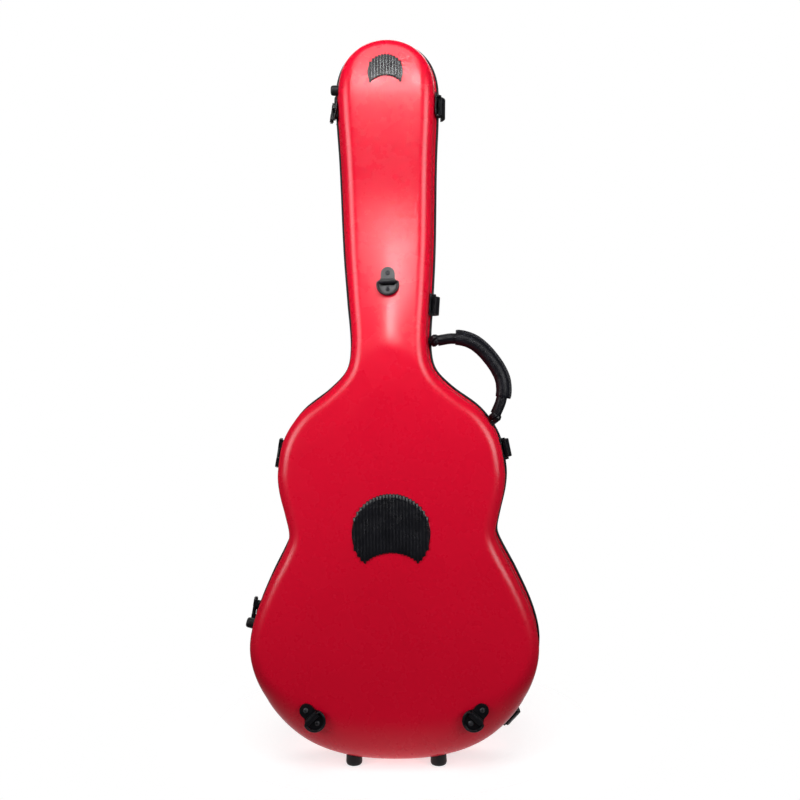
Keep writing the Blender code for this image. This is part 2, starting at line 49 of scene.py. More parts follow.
BODY_DEEP = {-1: 84 * MM, 1: 74 * MM}
NECK_DEEP = {-1: 50 * MM, 1: 44 * MM}
RAMP_TOP = 838 * MM
WALL = 3 * MM
LINING = 16 * MM
FLOOR_PAD = 9 * MM
EDGE_RADIUS = 20 * MM
BOTTOM_RADIUS = 75 * MM
WALL_LEAN = 1.8 * MM  # how far the drafted wall leans in before its edge turns
RAMP_FOOT = 604 * MM  # where the ramp down from the neck meets the body, on the centre line
RAMP_SWEEP = 48 * MM  # how much lower it meets the body towards the sides
RAMP_HALF = 60 * MM
RAMP_CURVE = 1.7
RAMP_TURN = 0.94  # past this share of the ramp it turns over into the body's back
CROWN = 3 * MM
HEAD_START, HEAD_LENGTH, HEAD_DROP = 960 * MM, 102 * MM, 9 * MM
OUTLINE = [
    (0, 0), (59, 4), (110, 18), (149.5, 41.5), (184, 79), (203.5, 121), (211.5, 170), (203.5, 214),
    (181, 268), (156.5, 316), (151.5, 333), (156, 358), (165, 396), (166.5, 425), (157, 472),
    (131, 511), (88.5, 544), (63.5, 572), (57.2, 608), (61.3, 675), (65.8, 750), (69.8, 881),
    (74, 965), (72, 1002), (60.5, 1031), (36, 1053), (0, 1062),
]
HINGE_HEIGHTS = (960, 449, 214)
HINGE_HALF_LENGTHS = (12.4, 20.4, 15.4)
HINGE_AXIS_X = -172.4 * MM
HINGE_LEAN = 0.1755
LATCH_HEIGHTS = (963, 665.5, 450, 57)
HANDLE_A = (64.6, 615.2)
HANDLE_B = (154.5, 497)
HANDLE_Y = -18 * MM
HANDLE_PATH = [
    (5, 3), (9, 10.8), (15.3, 21.3), (26, 33), (40.3, 41.8), (57.1, 45.9), (74.25, 46.9),
]
STRAP_SCALE = 1.16
STRAPS = (("neck", 0, 693, 0), ("left", -114, 76, 42), ("right", 114, 76, -42))
SIDE_FEET = ((987, 8.8, 24, "upper"), (200, 10.8, 38, "lower"))  # height, reach, from the seam
PER_SEGMENT = 6  # outline points between two of its key points
DENSE_STEPS = 24  # the same for the line that fittings are placed by


# ---------------------------------------------------------------- materials
class Nodes:
    """Shorthand for building one procedural material."""

    def __init__(self, name):
        self.material = bpy.data.materials.new(name)
        self.material.use_nodes = True
        self.tree = self.material.node_tree
        self.shader = self.tree.nodes["Principled BSDF"]

    def node(self, kind, **values):
        made = self.tree.nodes.new(kind)
        for key, value in values.items():
            if hasattr(made, key) and not key[0].isupper():
                setattr(made, key, value)
            else:
                made.inputs[key.replace("_", " ")].default_value = value
        return made

    def link(self, out, into):
        self.tree.links.new(out, into)

    def coords(self):
        return self.node("ShaderNodeTexCoord").outputs["Object"]

    def noise(self, scale, detail=3.0, rough=0.5, stretch=(1, 1, 1)):
        mapping = self.node("ShaderNodeMapping")
        mapping.inputs["Scale"].default_value = stretch
        self.link(self.coords(), mapping.inputs["Vector"])
        made = self.node("ShaderNodeTexNoise", Scale=scale, Detail=detail, Roughness=rough)
        self.link(mapping.outputs["Vector"], made.inputs["Vector"])
        return made.outputs["Fac"]

    def voronoi(self, scale, feature="F1"):
        made = self.node("ShaderNodeTexVoronoi", feature=feature, Scale=scale)
        self.link(self.coords(), made.inputs["Vector"])
        return made.outputs["Distance"]

    def ramp(self, fac, stops):
        made = self.node("ShaderNodeValToRGB")
        while len(made.color_ramp.elements) < len(stops):
            made.color_ramp.elements.new(0.5)
        for element, (at, colour) in zip(made.color_ramp.elements, stops):
            element.position = at
            element.color = (*colour, 1)
        self.link(fac, made.inputs["Fac"])
        return made.outputs["Color"]

    def spread(self, fac, low, high, from_low=0.3, from_high=0.7):
        made = self.node("ShaderNodeMapRange")
        made.inputs["From Min"].default_value = from_low
        made.inputs["From Max"].default_value = from_high
        made.inputs["To Min"].default_value = low
        made.inputs["To Max"].default_value = high
        self.link(fac, made.inputs["Value"])
        return made.outputs["Result"]

    def bump(self, height, strength, distance, after=None):
        made = self.node("ShaderNodeBump", Strength=strength, Distance=distance)
        self.link(height, made.inputs["Height"])
        if after is not None:
            self.link(after, made.inputs["Normal"])
        self.link(made.outputs["Normal"], self.shader.inputs["Normal"])
        return made.outputs["Normal"]

    def set(self, **values):
        for key, value in values.items():
            self.shader.inputs[key.replace("_", " ")].default_value = value


def moulded_red():
    """Satin moulded plastic: even colour, fine pebble, faint flow marks and handling scuffs."""
    m = Nodes("moulded_red")
    tint = m.ramp(m.noise(5, 4), [(0.3, (0.67, 0.0010, 0.0220)), (0.7, (0.73, 0.0015, 0.0255))])
    m.link(tint, m.shader.inputs["Base Color"])
    m.link(m.spread(m.noise(26, 6, 0.6), 0.25, 0.30), m.shader.inputs["Roughness"])
    m.set(Specular_IOR_Level=0.4)
    pebble = m.bump(m.noise(1500, 2), 0.06, 0.0002)
    m.bump(m.noise(210, 2), 0.05, 0.0003, pebble)
    return m.material


def soft_black(name, colour, rough, pebble=900.0, strength=0.25, stretch=(1, 1, 1), shine=0.3):
    """Rubber and soft plastic: dusty in the low spots, finely pebbled."""
    m = Nodes(name)
    dusty = tuple(c * 1.6 + 0.002 for c in colour)
    shade = m.ramp(m.noise(34, 5, 0.6), [(0.35, colour), (0.75, dusty)])
    m.link(shade, m.shader.inputs["Base Color"])
    m.link(m.spread(m.noise(60, 4), rough - 0.06, rough + 0.08), m.shader.inputs["Roughness"])
    m.set(Specular_IOR_Level=shine)
    m.bump(m.noise(pebble, 3, 0.6, stretch), strength, 0.0003)
    return m.material


def lacquered_metal():
    """Black lacquer over pressed steel, with an orange-peel skin and slightly rubbed patches."""
    m = Nodes("lacquered_metal")
    dark, rubbed = (0.0035, 0.0035, 0.005), (0.009, 0.009, 0.012)
    shade = m.ramp(m.noise(70, 6, 0.65), [(0.4, dark), (0.8, rubbed)])
    m.link(shade, m.shader.inputs["Base Color"])
    m.link(m.spread(m.noise(150, 5), 0.26, 0.44), m.shader.inputs["Roughness"])
    m.set(Specular_IOR_Level=0.26, Coat_Weight=0.06, Coat_Roughness=0.2)
    m.bump(m.noise(620, 3), 0.12, 0.0002)
    return m.material


def brushed_steel():
    """Bare steel with fine brush lines along one axis."""
    m = Nodes("brushed_steel")
    shade = m.ramp(m.noise(90, 5), [(0.3, (0.36, 0.36, 0.37)), (0.75, (0.56, 0.56, 0.57))])
    m.link(shade, m.shader.inputs["Base Color"])
    m.link(m.spread(m.noise(400, 3, 0.5, (1, 1, 14)), 0.24, 0.42), m.shader.inputs["Roughness"])
    m.set(Metallic=1.0)
    m.bump(m.noise(900, 2, 0.5, (1, 1, 20)), 0.15, 0.0001)
    return m.material


def black_leather():
    """Grained leather: cells of a few tenths of a millimetre, creases and a waxy sheen."""
    m = Nodes("black_leather")
    cells = m.voronoi(620, "DISTANCE_TO_EDGE")
    dark, worn = (0.003, 0.003, 0.0048), (0.007, 0.007, 0.011)
    shade = m.ramp(m.noise(55, 5, 0.6), [(0.3, dark), (0.75, worn)])
    m.link(shade, m.shader.inputs["Base Color"])
    m.link(m.spread(m.noise(240, 4), 0.30, 0.46), m.shader.inputs["Roughness"])
    m.set(Specular_IOR_Level=0.2)
    grain = m.bump(m.spread(cells, 0.0, 1.0, 0.0, 0.25), 0.35, 0.00025)
    m.bump(m.noise(90, 4), 0.25, 0.0006, grain)
    return m.material


def plush(name, dark, light):
    """Short pile: soft mottled colour with sheen and a fibrous surface."""
    m = Nodes(name)
    shade = m.ramp(m.noise(48, 6, 0.7), [(0.3, dark), (0.72, light)])
    m.link(shade, m.shader.inputs["Base Color"])
    m.set(Roughness=0.95, Specular_IOR_Level=0.15, Sheen_Weight=0.55, Sheen_Roughness=0.45)
    pile = m.bump(m.noise(1700, 3, 0.7), 0.7, 0.0008)
    m.bump(m.noise(130, 4, 0.6), 0.35, 0.0012, pile)
    return m.material


RED = moulded_red()
RUBBER = soft_black("ribbed_rubber", (0.0040, 0.0042, 0.0065), 0.22, shine=0.7)
FOOT = soft_black("foot_rubber", (0.0050, 0.0050, 0.0062), 0.42, 700.0)
SEAL = soft_black("edge_band", (0.003, 0.003, 0.0042), 0.45, 1300.0, 0.18, shine=0.16)
METAL = lacquered_metal()
STEEL = brushed_steel()
DARK_STEEL = soft_black("blackened_steel", (0.035, 0.035, 0.04), 0.36, 1500.0, 0.15)
LEATHER = black_leather()
THREAD = soft_black("waxed_thread", (0.05, 0.05, 0.056), 0.55, 2600.0, 0.6, (1, 1, 3))
PLUSH = plush("charcoal_plush", (0.034, 0.033, 0.040), (0.082, 0.080, 0.094))
PLUSH_BOX = plush("box_plush", (0.050, 0.048, 0.057), (0.115, 0.112, 0.130))


# ---------------------------------------------------------------- small mesh tools
def piece(name, mesh, look, body, stands_for=(), angle=None):
    """One finished piece on a body, in place of the CAD nodes it names."""
    for polygon in mesh.polygons:
        polygon.use_smooth = True
    if angle is not None:
        mesh.set_sharp_from_angle(angle=math.radians(angle))
    thing = bpy.data.objects.new(name, mesh)
    bpy.context.scene.collection.objects.link(thing)
    mesh.materials.append(look)
    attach(thing, body)
    if stands_for:
        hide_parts(*stands_for)
    return thing


def mesh_of(name, points, faces):
    """A mesh whose faces all look outwards."""
    mesh = bpy.data.meshes.new(name)
    mesh.from_pydata([tuple(p) for p in points], [], faces)
    work = bmesh.new()
    work.from_mesh(mesh)
    bmesh.ops.recalc_face_normals(work, faces=work.faces)
    work.to_mesh(mesh)
    work.free()
    return mesh


def frame_at(origin, x_axis, y_axis):
    """A local frame from its origin, its X and the nearest Y at a right angle to it."""
    x_axis = Vector(x_axis).normalized()
    y_axis = Vector(y_axis)
    y_axis = (y_axis - x_axis * y_axis.dot(x_axis)).normalized()
    turn = Matrix((x_axis, y_axis, x_axis.cross(y_axis))).transposed()
    return Matrix.Translation(Vector(origin)) @ turn.to_4x4()


def turned(profile, sides, matrix):
    """A profile of radius and height in millimetres turned round local Z, as (points, faces)."""
    points, faces, rings = [], [], []
    for radius, height in profile:
        if radius <= 0:
            points.append(matrix @ (Vector((0, 0, height)) * MM))
            rings.append([len(points) - 1])
            continue
        ring = []
        for k in range(sides):
            angle = 2 * math.pi * k / sides
            spot = Vector((radius * math.cos(angle), radius * math.sin(angle), height)) * MM
            points.append(matrix @ spot)
            ring.append(len(points) - 1)
        rings.append(ring)
    for low, high in zip(rings, rings[1:]):
        for k in range(sides):
            m = (k + 1) % sides
            if len(low) == len(high) == 1:
                continue
            if len(low) == 1:
                faces.append((low[0], high[m], high[k]))
            elif len(high) == 1:
                faces.append((low[k], low[m], high[0]))
            else:
                faces.append((low[k], low[m], high[m], high[k]))
    return points, faces


def gather(parts):
    """Several (points, faces) as one."""
    points, faces = [], []
    for more_points, more_faces in parts:
        at = len(points)
        points += more_points
        faces += [tuple(i + at for i in face) for face in more_faces]
    return points, faces


def tube_faces(rows, size, closed=False):
    """Faces between rings of points, one after the other; closed joins the last to the first."""
    faces = []
    for row in range(rows if closed else rows - 1):
        after = (row + 1) % rows
        for k in range(size):
            m = (k + 1) % size
            faces.append((row * size + k, row * size + m, after * size + m, after * size + k))
    return faces


def capped_faces(rows, size):
    """The same, with a flat face over the first and the last ring."""
    ends = [tuple(range(size))[::-1], tuple(range((rows - 1) * size, rows * size))]
    return tube_faces(rows, size) + ends


def swept(line, radius, sides, side_hint, closed=False):
    """A round section swept along points, as (points, faces), with flat ends unless closed."""
    points = []
    count = len(line)
    hint = Vector(side_hint)
    for i, spot in enumerate(line):
        if closed:
            along = line[(i + 1) % count] - line[i - 1]
        else:
            along = line[min(i + 1, count - 1)] - line[max(i - 1, 0)]
        along.normalize()
        a = (hint - along * hint.dot(along)).normalized()
        b = along.cross(a)
        width = radius[i] if isinstance(radius, list) else radius
        for k in range(sides):
            angle = 2 * math.pi * k / sides
            points.append(spot + a * (width * math.cos(angle)) + b * (width * math.sin(angle)))
    return points, tube_faces(count, sides, True) if closed else capped_faces(count, sides)


def curve_through(keys, per):
    """A smooth line through key points."""
    count = len(keys)
    found = []
    for i in range(count - 1):
        p0 = keys[i - 1] if i else keys[0] * 2 - keys[1]
        p1, p2 = keys[i], keys[i + 1]
        p3 = keys[i + 2] if i + 2 < count else keys[-1] * 2 - keys[-2]
        for step in range(per):
            t = step / per
            found.append(
                p1 * (2 * t**3 - 3 * t**2 + 1) + (p2 - p0) * 0.5 * (t**3 - 2 * t**2 + t)
                + p2 * (3 * t**2 - 2 * t**3) + (p3 - p1) * 0.5 * (t**3 - t**2)
            )
    found.append(keys[-1].copy())
    return found


# ---------------------------------------------------------------- the shells' shape
def smooth_outline():
    """The right half of the outline, bottom to top, as points with their outward directions."""
    keys = [Vector((x, z)) * MM for x, z in OUTLINE]
    keys = [Vector((-keys[1].x, keys[1].y))] + keys + [Vector((-keys[-2].x, keys[-2].y))]
    dense = []
    for before, start, end, after in zip(keys, keys[1:], keys[2:], keys[3:]):
        span = (end - start).length
        pull_in = (end - before) / ((end - start).length + (start - before).length) * span
        pull_out = (after - start) / ((after - end).length + (end - start).length) * span
        for step in range(DENSE_STEPS):
            t = step / DENSE_STEPS
            dense.append(
                start * (2 * t**3 - 3 * t**2 + 1) + pull_in * (t**3 - 2 * t**2 + t)
                + end * (3 * t**2 - 2 * t**3) + pull_out * (t**3 - t**2)
            )
    dense.append(keys[-2])
    found = []
    for i, point in enumerate(dense):
        along = dense[min(i + 1, len(dense) - 1)] - dense[max(i - 1, 0)]
        if i in (0, len(dense) - 1):
            along = Vector((1 if i == 0 else -1, 0))
        found.append((point, Vector((along.y, -along.x)).normalized()))
    return found


DENSE = smooth_outline()


def ring_stations():
    """The whole outline, once round, at the spacing the shells are built from."""
    half = DENSE[:: DENSE_STEPS // PER_SEGMENT]
    right = half[1:-1]
    left = [(Vector((-p.x, p.y)), Vector((-n.x, n.y))) for p, n in right[::-1]]
    return [half[0], *right, half[-1], *left]


STATIONS = ring_stations()
COUNT = len(STATIONS)


def clamp(value):
    return min(max(value, 0.0), 1.0)


def crest(x):
    """The height at which the ramp meets the body, lower towards the sides."""
    x = abs(x)
    return RAMP_FOOT - RAMP_SWEEP * clamp(x / RAMP_HALF) ** 1.6 - 0.55 * max(x - RAMP_HALF, 0)


def depth_at(x, z, side):
    """How far a shell's face stands from the seam."""
    body, neck = BODY_DEEP[side], NECK_DEEP[side]
    top = crest(x)
    rise = clamp((RAMP_TOP - z) / (RAMP_TOP - top))
    soft = rise if rise < RAMP_TURN else rise - (rise - RAMP_TURN) ** 2 / 0.12 * 0.5
    deep = neck + (body - neck) * soft**RAMP_CURVE
    head = clamp((z - HEAD_START) / HEAD_LENGTH)
    crown = CROWN * clamp((top - z) / (60 * MM)) * (1 - clamp(abs(x) / (190 * MM)) ** 2)
    return deep - HEAD_DROP * head**2 + crown


def roundness(z):
    """The radius of a shell's edge, widest round the bottom."""
    t = clamp(z / (170 * MM))
    return EDGE_RADIUS + (BOTTOM_RADIUS - EDGE_RADIUS) * (1 - t * t * (3 - 2 * t))


def section(station, side, inset, floor, rows_at_seam, steps):
    """One wall and rounded edge, from the seam to the face, as world points."""
    point, normal = station
    reach = roundness(point.y)
    lean = 1.5 * MM + inset + WALL_LEAN
    inner = point - normal * (lean + reach)
    deep = depth_at(inner.x, inner.y, side) - floor
    drop = min(reach, 0.52 * deep)
    rows = [(inset + a * MM, y * MM) for a, y in rows_at_seam]
    for step in range(steps + 1):
        angle = math.pi / 2 * step / steps
        rows.append((lean + reach * (1 - math.cos(angle)), deep - drop * (1 - math.sin(angle))))
    spots = [(point - normal * across, y) for across, y in rows]
    return [Vector((p.x, SEAM + side * y, p.y + LIFT)) for p, y in spots]


def ladder(points, faces, first, columns, side, floor):
    """Closes the ring of points that starts at first with rungs across the shell's face."""
    half = COUNT // 2
    rungs = [[first]]
    for i in range(1, half):
        right, left = points[first + i], points[first + COUNT - i]
        rung = [first + COUNT - i]
        for column in range(1, columns):
            x = left.x + (right.x - left.x) * column / columns
            deep = depth_at(x, right.z - LIFT, side) - floor
            points.append(Vector((x, SEAM + side * deep, right.z)))
            rung.append(len(points) - 1)
        rungs.append([*rung, first + i])
    rungs.append([first + half])
    for low, high in zip(rungs, rungs[1:]):
        if len(low) == 1:
            faces += [(low[0], b, a) for a, b in zip(high, high[1:])]
        elif len(high) == 1:
            faces += [(high[0], a, b) for a, b in zip(low, low[1:])]
        else:
            faces += [(low[k], low[k + 1], high[k + 1], high[k]) for k in range(len(low) - 1)]


def bowl(name, side, outer, inner, columns):
    """A closed tray between two (inset, floor, rows at the seam, steps round the edge)."""
    rings = [section(s, side, *outer)[::-1] + section(s, side, *inner) for s in STATIONS]
    rows = len(rings[0])
    points = [rings[i][row] for row in range(rows) for i in range(COUNT)]
    faces = tube_faces(rows, COUNT)
    ladder(points, faces, 0, columns, side, outer[1])
    ladder(points, faces, (rows - 1) * COUNT, columns, side, inner[1])
    return mesh_of(name, points, faces)


def band(name, side, corners):
    """A section of (inset, depth) corners carried once round the outline."""
    points = []
    for inset, y in corners:
        for point, normal in STATIONS:
            p = point - normal * inset * MM
            points.append(Vector((p.x, SEAM + side * y * MM, p.y + LIFT)))
    return mesh_of(name, points, tube_faces(len(corners), COUNT, True))


# The shell's turned lip stands a little proud of the wall, rounded on both corners.
LIP = [
    (0.35, 8.3), (0.0, 8.5), (-0.15, 8.9), (-0.15, 9.4), (0.1, 9.8), (0.9, 10.3), (1.35, 11.2),
    (1.5, 13),
]
BARE_EDGE = [(0, 8.3), (0.3, 10)]
LINING_EDGE = [(-0.8, 9.3), (-0.2, 9.9), (0.3, 12), (0.8, 15)]
RIM = [
    (-3.2, 0.5), (-3.5, 0.8), (-3.5, 2.6), (-3.15, 2.9), (-3.15, 3.3), (-3.5, 3.6), (-3.5, 6.4),
    (-3.2, 7.0), (-2.5, 7.6), (-1.6, 8.0), (0.4, 8.05), (4.2, 8.0), (4.2, 0.5),
]


def puffed(mesh, side):
    """Soft foam: the plush swells and dips a little between its glue lines."""
    mesh.update()
    for vertex in mesh.vertices:
        x, y, z = vertex.co
        if side * (y - SEAM) < 12 * MM:
            continue
        swell = noise.noise(Vector((x * 22, y * 22, z * 22))) * 0.9
        swell += noise.noise(Vector((x * 70, y * 70, z * 70))) * 0.25
        vertex.co = vertex.co + vertex.normal * swell * MM * 0.6
    return mesh


def build_shells():
    """Both shells, with their edge bands and linings."""
    for key, side in (("base", -1), ("lid", 1)):
        outer, inner = (0.0, 0.0, LIP, 12), (WALL, WALL, BARE_EDGE, 6)
        shell = bowl(key + "_shell_skin", side, outer, inner, 26)
        piece(key + "_shell_skin", shell, RED, key, [key + "_shell"])
        rim = band(key + "_edge_band", side, RIM)
        piece(key + "_edge_band", rim, SEAL, key, [key + "_rim"], angle=50)
        thick = WALL + 1.6 * MM
        outer = (thick, thick, [(0.4, 9.3), (0.0, 9.9)], 8)
        inner = (WALL + LINING, WALL + FLOOR_PAD, LINING_EDGE, 8)
        pile = puffed(bowl(key + "_lining_plush", side, outer, inner, 20), side)
        lining = piece(key + "_lining_plush", pile, PLUSH, key, [key + "_lining"])


build_shells()


# ---------------------------------------------------------------- frames on the case
def station_at(height):
    return min(DENSE, key=lambda s: abs(s[0].y - height * MM))


def on_edge(height, across=1):
    """A frame on the outline at a height: X outwards, Y away from the back."""
    point, normal = station_at(height)
    origin = (across * point.x, SEAM, point.y + LIFT)
    return frame_at(origin, (across * normal.x, 0, normal.y), (0, 1, 0))


def on_back(x, z, turn=0.0):
    """A frame on the back shell: Z out of its face, Y up it, turned in the face."""
    step = 4 * MM

    def face(dx, dz):
        return Vector((x + dx, SEAM - depth_at(x + dx, z + dz, -1), z + dz + LIFT))

    here = face(0, 0)
    up = (face(0, step) - face(0, -step)).normalized()
    out = (face(step, 0) - face(-step, 0)).cross(up).normalized()
    across = up.cross(out)
    turned_up = up * math.cos(turn) - across * math.sin(turn)
    return frame_at(here, turned_up.cross(out), turned_up)


def shift(x, y, z):
    return Matrix.Translation(Vector((x, y, z)) * MM)


def quarter(way=1):
    """Turns local Z, which profiles are turned round, to point along local X."""
    return Matrix.Rotation(math.pi / 2 * way, 4, "Y")


# ---------------------------------------------------------------- carried-over CAD pieces
def finish_node(name, look, bevel, segments=2, angle=30):
    """Gives a CAD solid its material, worn edges and smooth faces."""
    node = frame["nodes"][name]
    node.data.materials.clear()
    node.data.materials.append(look)
    for polygon in node.data.polygons:
        polygon.use_smooth = True
        polygon.material_index = 0
    weld = node.modifiers.new("weld", "WELD")
    weld.merge_threshold = 1e-5
    edge = node.modifiers.new("bevel", "BEVEL")
    edge.width = bevel * MM
    edge.segments = segments
    edge.limit_method = "ANGLE"
    edge.angle_limit = math.radians(angle)
    edge.use_clamp_overlap = True
    even = node.modifiers.new("even", "WEIGHTED_NORMAL")
    even.keep_sharp = False
    even.weight = 80


for node_name in sorted(frame["nodes"]):
    if "leaf" in node_name:
        finish_node(node_name, METAL, 0.35)
    elif node_name.startswith("latch"):
        if node_name.endswith("lever"):
            finish_node(node_name, METAL, 2.2, 5, 24)
        elif node_name.endswith("plate"):
            finish_node(node_name, METAL, 0.35)
        else:
            finish_node(node_name, STEEL, 0.3)
    elif node_name.endswith("_pin"):
        finish_node(node_name, STEEL, 0.25)
    elif node_name.startswith("handle_anchor"):
        finish_node(node_name, METAL, 1.9, 5)
    elif node_name.startswith("strap") and node_name.endswith("plate"):
        finish_node(node_name, METAL, 0.45, 3)


# ---------------------------------------------------------------- feet
FOOT_PROFILE = [
    (0, 0.9), (5.2, 0.9), (5.7, 0.0), (8.4, 0), (9.6, 0.25), (10.7, 1.0), (11.5, 2.2), (11.95, 4.0),
    (12.0, 5.2), (11.75, 9), (11.1, 24), (0, 24),
]
SIDE_PROFILE = [
    (7.7, -11), (7.5, -5), (7.35, -3.2), (7.0, -1.9), (6.2, -0.8), (5.0, -0.3), (3.0, -0.1),
    (0, -0.05),
]
FOOT_ACROSS, FOOT_APART = 62 * MM, 36 * MM  # from the centre line, and from the seam
for side, key in ((-1, "base"), (1, "lid")):
    for across, hand in ((-1, "left"), (1, "right")):
        spot = Matrix.Translation((across * FOOT_ACROSS, SEAM + side * FOOT_APART, 0))
        made = mesh_of("foot", *turned(FOOT_PROFILE, 48, spot))
        name = f"{key}_foot_{hand}"
        piece(name + "_rubber", made, FOOT, key, [name], angle=35)
    for height, reach, offset, spot_name in SIDE_FEET:
        local = on_edge(height, -1) @ shift(0, side * offset, 0) @ quarter()
        profile = [(0, -12), (7.75, -12)] + [(radius, reach + z) for radius, z in SIDE_PROFILE]
        made = mesh_of("foot", *turned(profile, 40, local))
        name = f"{key}_side_foot_{spot_name}"
        piece(name + "_rubber", made, FOOT, key, [name], angle=35)


# ---------------------------------------------------------------- rivets
DOME = [(0, -0.8), (2.1, -0.8), (2.15, 0.2), (1.9, 0.75), (1.3, 1.15), (0.6, 1.3), (0, 1.35)]
RIVET_END = 6.5  # from the end of a hinge leaf
LATCH_RIVETS = (  # body, side, reach, places, material
    ("base", -1, -0.5, ((28.5, -10), (28.5, 10)), METAL),
    ("lid", 1, -0.55, ((24, -5), (24, 5)), STEEL),
)
axis_up = Vector((HINGE_LEAN, 0, 1)).normalized()
hinge_out = Vector((-1, 0, HINGE_LEAN)).normalized()
for number, height in enumerate(HINGE_HEIGHTS, 1):
    half = HINGE_HALF_LENGTHS[number - 1]
    axis_x = HINGE_AXIS_X + HINGE_LEAN * (height - HINGE_HEIGHTS[1]) * MM
    origin = Vector((axis_x, SEAM, height * MM + LIFT))
    local = frame_at(origin, hinge_out, (0, 1, 0))
    reaches = []
    for point, normal in DENSE:
        away = origin - Vector((-point.x, SEAM, point.y + LIFT))
        if abs(away.dot(axis_up)) < (half + 0.6) * MM:
            reaches.append(away.dot(hinge_out) / MM)
    outer = -(min(reaches) + 0.9) + 1.4
    for key, side in (("base", -1), ("lid", 1)):
        heads = []
        for y, z in ((17.5, RIVET_END - half), (17.5, half - RIVET_END), (24.5, 0)):
            spot = local @ shift(outer - 0.06 * (y - 11), side * y, z) @ quarter()
            heads.append(turned(DOME, 20, spot))
        name = f"hinge_{number}_{key}_rivets"
        piece(name, mesh_of(name, *gather(heads)), METAL, key)
for number, height in enumerate(LATCH_HEIGHTS, 1):
    local = on_edge(height)
    for key, side, reach, places, look in LATCH_RIVETS:
        heads = []
        for y, z in places:
            heads.append(turned(DOME, 20, local @ shift(reach, side * y, z) @ quarter()))
        name = f"latch_{number}_{key}_rivets"
        piece(name, mesh_of(name, *gather(heads)), look, key)


# ---------------------------------------------------------------- handle
start = Vector((HANDLE_A[0] * MM, SEAM + HANDLE_Y, HANDLE_A[1] * MM + LIFT))
end = Vector((HANDLE_B[0] * MM, SEAM + HANDLE_Y, HANDLE_B[1] * MM + LIFT))
length = (end - start).length / MM
handle = frame_at(start, end - start, (1, 0, 1))
half_path = [Vector((x, y, 0)) for x, y in HANDLE_PATH]
keys = half_path + [Vector((length - p.x, p.y, 0)) for p in half_path[-2::-1]]
path = curve_through(keys, 8)


def to_handle(made, scale=1.0):
    """Takes (points, faces) from the handle's own frame to the world."""
    points, faces = made
    return [handle @ (p * scale) for p in points], faces


# Each end of the core is a round eye that turns on the pivot, beside a boss of its anchor.
EYE_AT, BOSS_AT = 1.1, 0.7
EYE = [
    (2.7, 0.0), (6.4, 0.0), (7.8, 0.4), (8.5, 1.5), (8.6, 3.6), (8.3, 5.8), (7.0, 7.6), (4.6, 8.7),
    (0, 9.0), (0, 6.9), (2.7, 6.9), (2.7, 0.0),
]
BOSS = [
    (0, 0.0), (7.7, 0.0), (8.2, 0.5), (8.3, 2.2), (7.6, 4.0), (6.2, 5.4), (4.0, 6.2), (0, 6.4),
]
core = [to_handle(swept(path, 8.0, 32, (0, 0, 1)), MM)]
for at, way in ((EYE_AT, 1), (length - EYE_AT, -1)):
    core.append(to_handle(turned(EYE, 28, shift(at, 0, 0) @ quarter(way))))
core_mesh = mesh_of("core", *gather(core))
piece("handle_core_leather", core_mesh, LEATHER, "handle", ["handle_core"], angle=50)

for number, (at, way) in enumerate(((BOSS_AT, -1), (length - BOSS_AT, 1)), 1):
    boss = mesh_of("boss", *to_handle(turned(BOSS, 28, shift(at, 0, 0) @ quarter(way))))
    piece(f"handle_anchor_{number}_boss", boss, METAL, "base", angle=40)

# The wrap is folded round the core and its two edges are sewn together as an outer flange.
GRIP_LOW, GRIP_HIGH = 18.0, length - 18.0
GRIP_RADIUS = 9.7
FLANGE_HALF_ANGLE = 14
HALF_FLANGE = [(9.9, -1.75), (11.4, -1.4), (12.7, -1.35), (13.3, -1.1), (13.55, -0.25)]
FLANGE = HALF_FLANGE + [(13.0, 0.0)] + [(a, -b) for a, b in HALF_FLANGE[::-1]]


def wrap_section(shrink):
    """The folded leather's section: round the core, then out along the sewn flange."""
    outline = []
    for k in range(41):
        angle = math.radians(FLANGE_HALF_ANGLE + (360 - 2 * FLANGE_HALF_ANGLE) * k / 40)
        outline.append((GRIP_RADIUS * math.cos(angle), GRIP_RADIUS * math.sin(angle)))
    return [(a * (1 - shrink), b * (1 - shrink * 1.5)) for a, b in outline + FLANGE]


grip_line = [p for p in path if GRIP_LOW <= p.x <= GRIP_HIGH]
grip_points = []
for i, spot in enumerate(grip_line):
    along = (grip_line[min(i + 1, len(grip_line) - 1)] - grip_line[max(i - 1, 0)]).normalized()
    up = Vector((-along.y, along.x, 0))
    edge = min(i, len(grip_line) - 1 - i)
    shrink = (0.055, 0.015, 0.0)[min(edge, 2)]
    for a, b in wrap_section(shrink):
        ripple = 1 + 0.006 * math.sin(spot.x * 0.55 + b * 0.4) if a < 9.5 else 1.0
        grip_points.append(handle @ ((spot + up * a * ripple + Vector((0, 0, b * ripple))) * MM))
grip = mesh_of("grip", grip_points, capped_faces(len(grip_line), len(wrap_section(0))))
piece("handle_grip_leather", grip, LEATHER, "handle", ["handle_grip"], angle=60)


def along_line(line, spacing):
    """Points a set distance apart on a line, with their directions."""
    found, left = [], spacing / 2
    for a, b in zip(line, line[1:]):
        span = (b - a).length
        while left <= span:
            found.append((a.lerp(b, left / span), (b - a).normalized()))
            left += spacing
        left -= span
    return found


